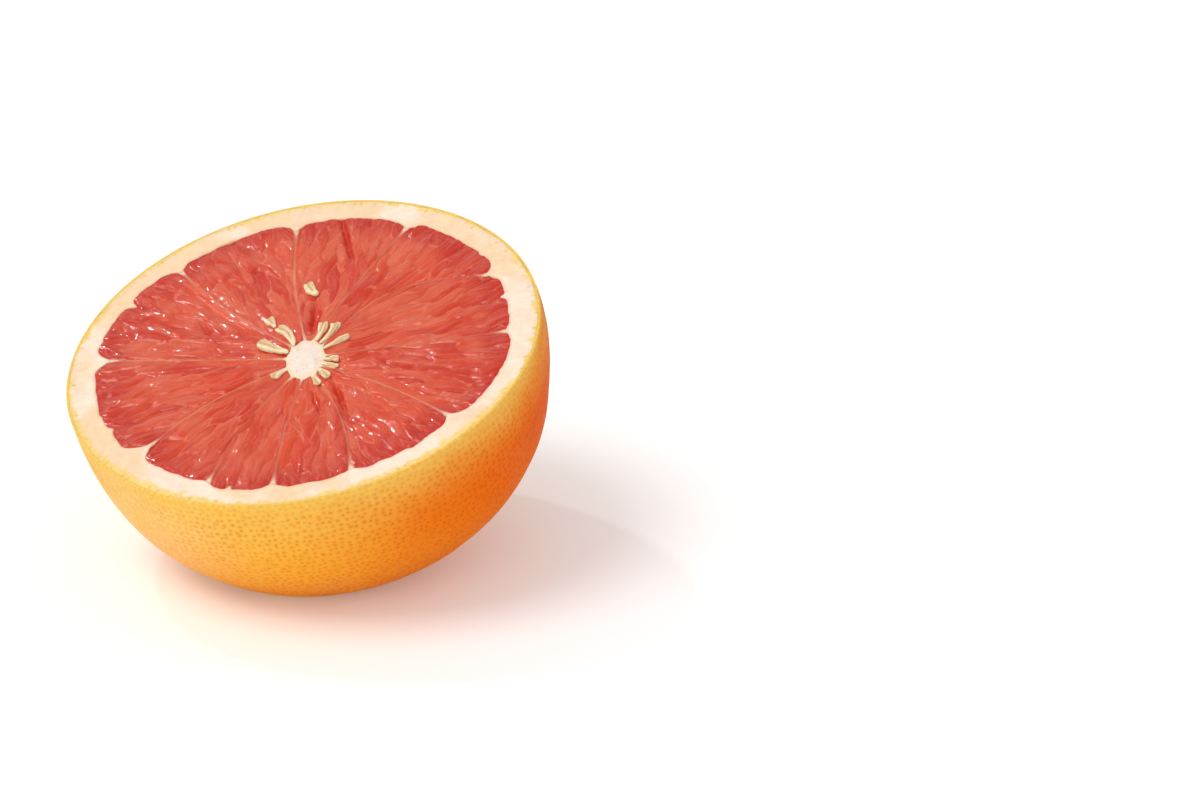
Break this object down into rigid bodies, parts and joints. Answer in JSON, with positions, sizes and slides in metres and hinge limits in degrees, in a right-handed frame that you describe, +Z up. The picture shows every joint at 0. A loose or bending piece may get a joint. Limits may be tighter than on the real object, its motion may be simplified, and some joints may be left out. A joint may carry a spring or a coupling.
{
  "type": "grapefruit half",
  "caption": "Pink grapefruit cut in half across its segments, resting on its peel with the cut face tilted up.",
  "frame": {"origin": "middle of the small flat spot that the peel rests on", "axes": "+Z up from the surface it rests on; +X to the right and +Y to the far side, as seen by someone whom the tilted cut face faces"},
  "size_m": [0.1057, 0.1039, 0.0662],
  "materials": {
    "rind": "satin waxy peel",
    "core": "matte spongy tissue",
    "pulp": "wet gloss",
    "pip": "satin"
  },
  "bodies": {
    "root": {"rind": "rind", "core": "core", "segment_01": "pulp", "segment_02": "pulp", "segment_03": "pulp", "segment_04": "pulp", "segment_05": "pulp", "segment_06": "pulp", "segment_07": "pulp", "segment_08": "pulp", "segment_09": "pulp", "segment_10": "pulp", "segment_11": "pulp", "pip_01": "pip", "pip_02": "pip", "pip_03": "pip", "pip_04": "pip", "pip_05": "pip", "pip_06": "pip", "pip_07": "pip", "pip_08": "pip", "pip_09": "pip", "pip_10": "pip", "pip_11": "pip", "pip_12": "pip"}
  },
  "joints": []
}
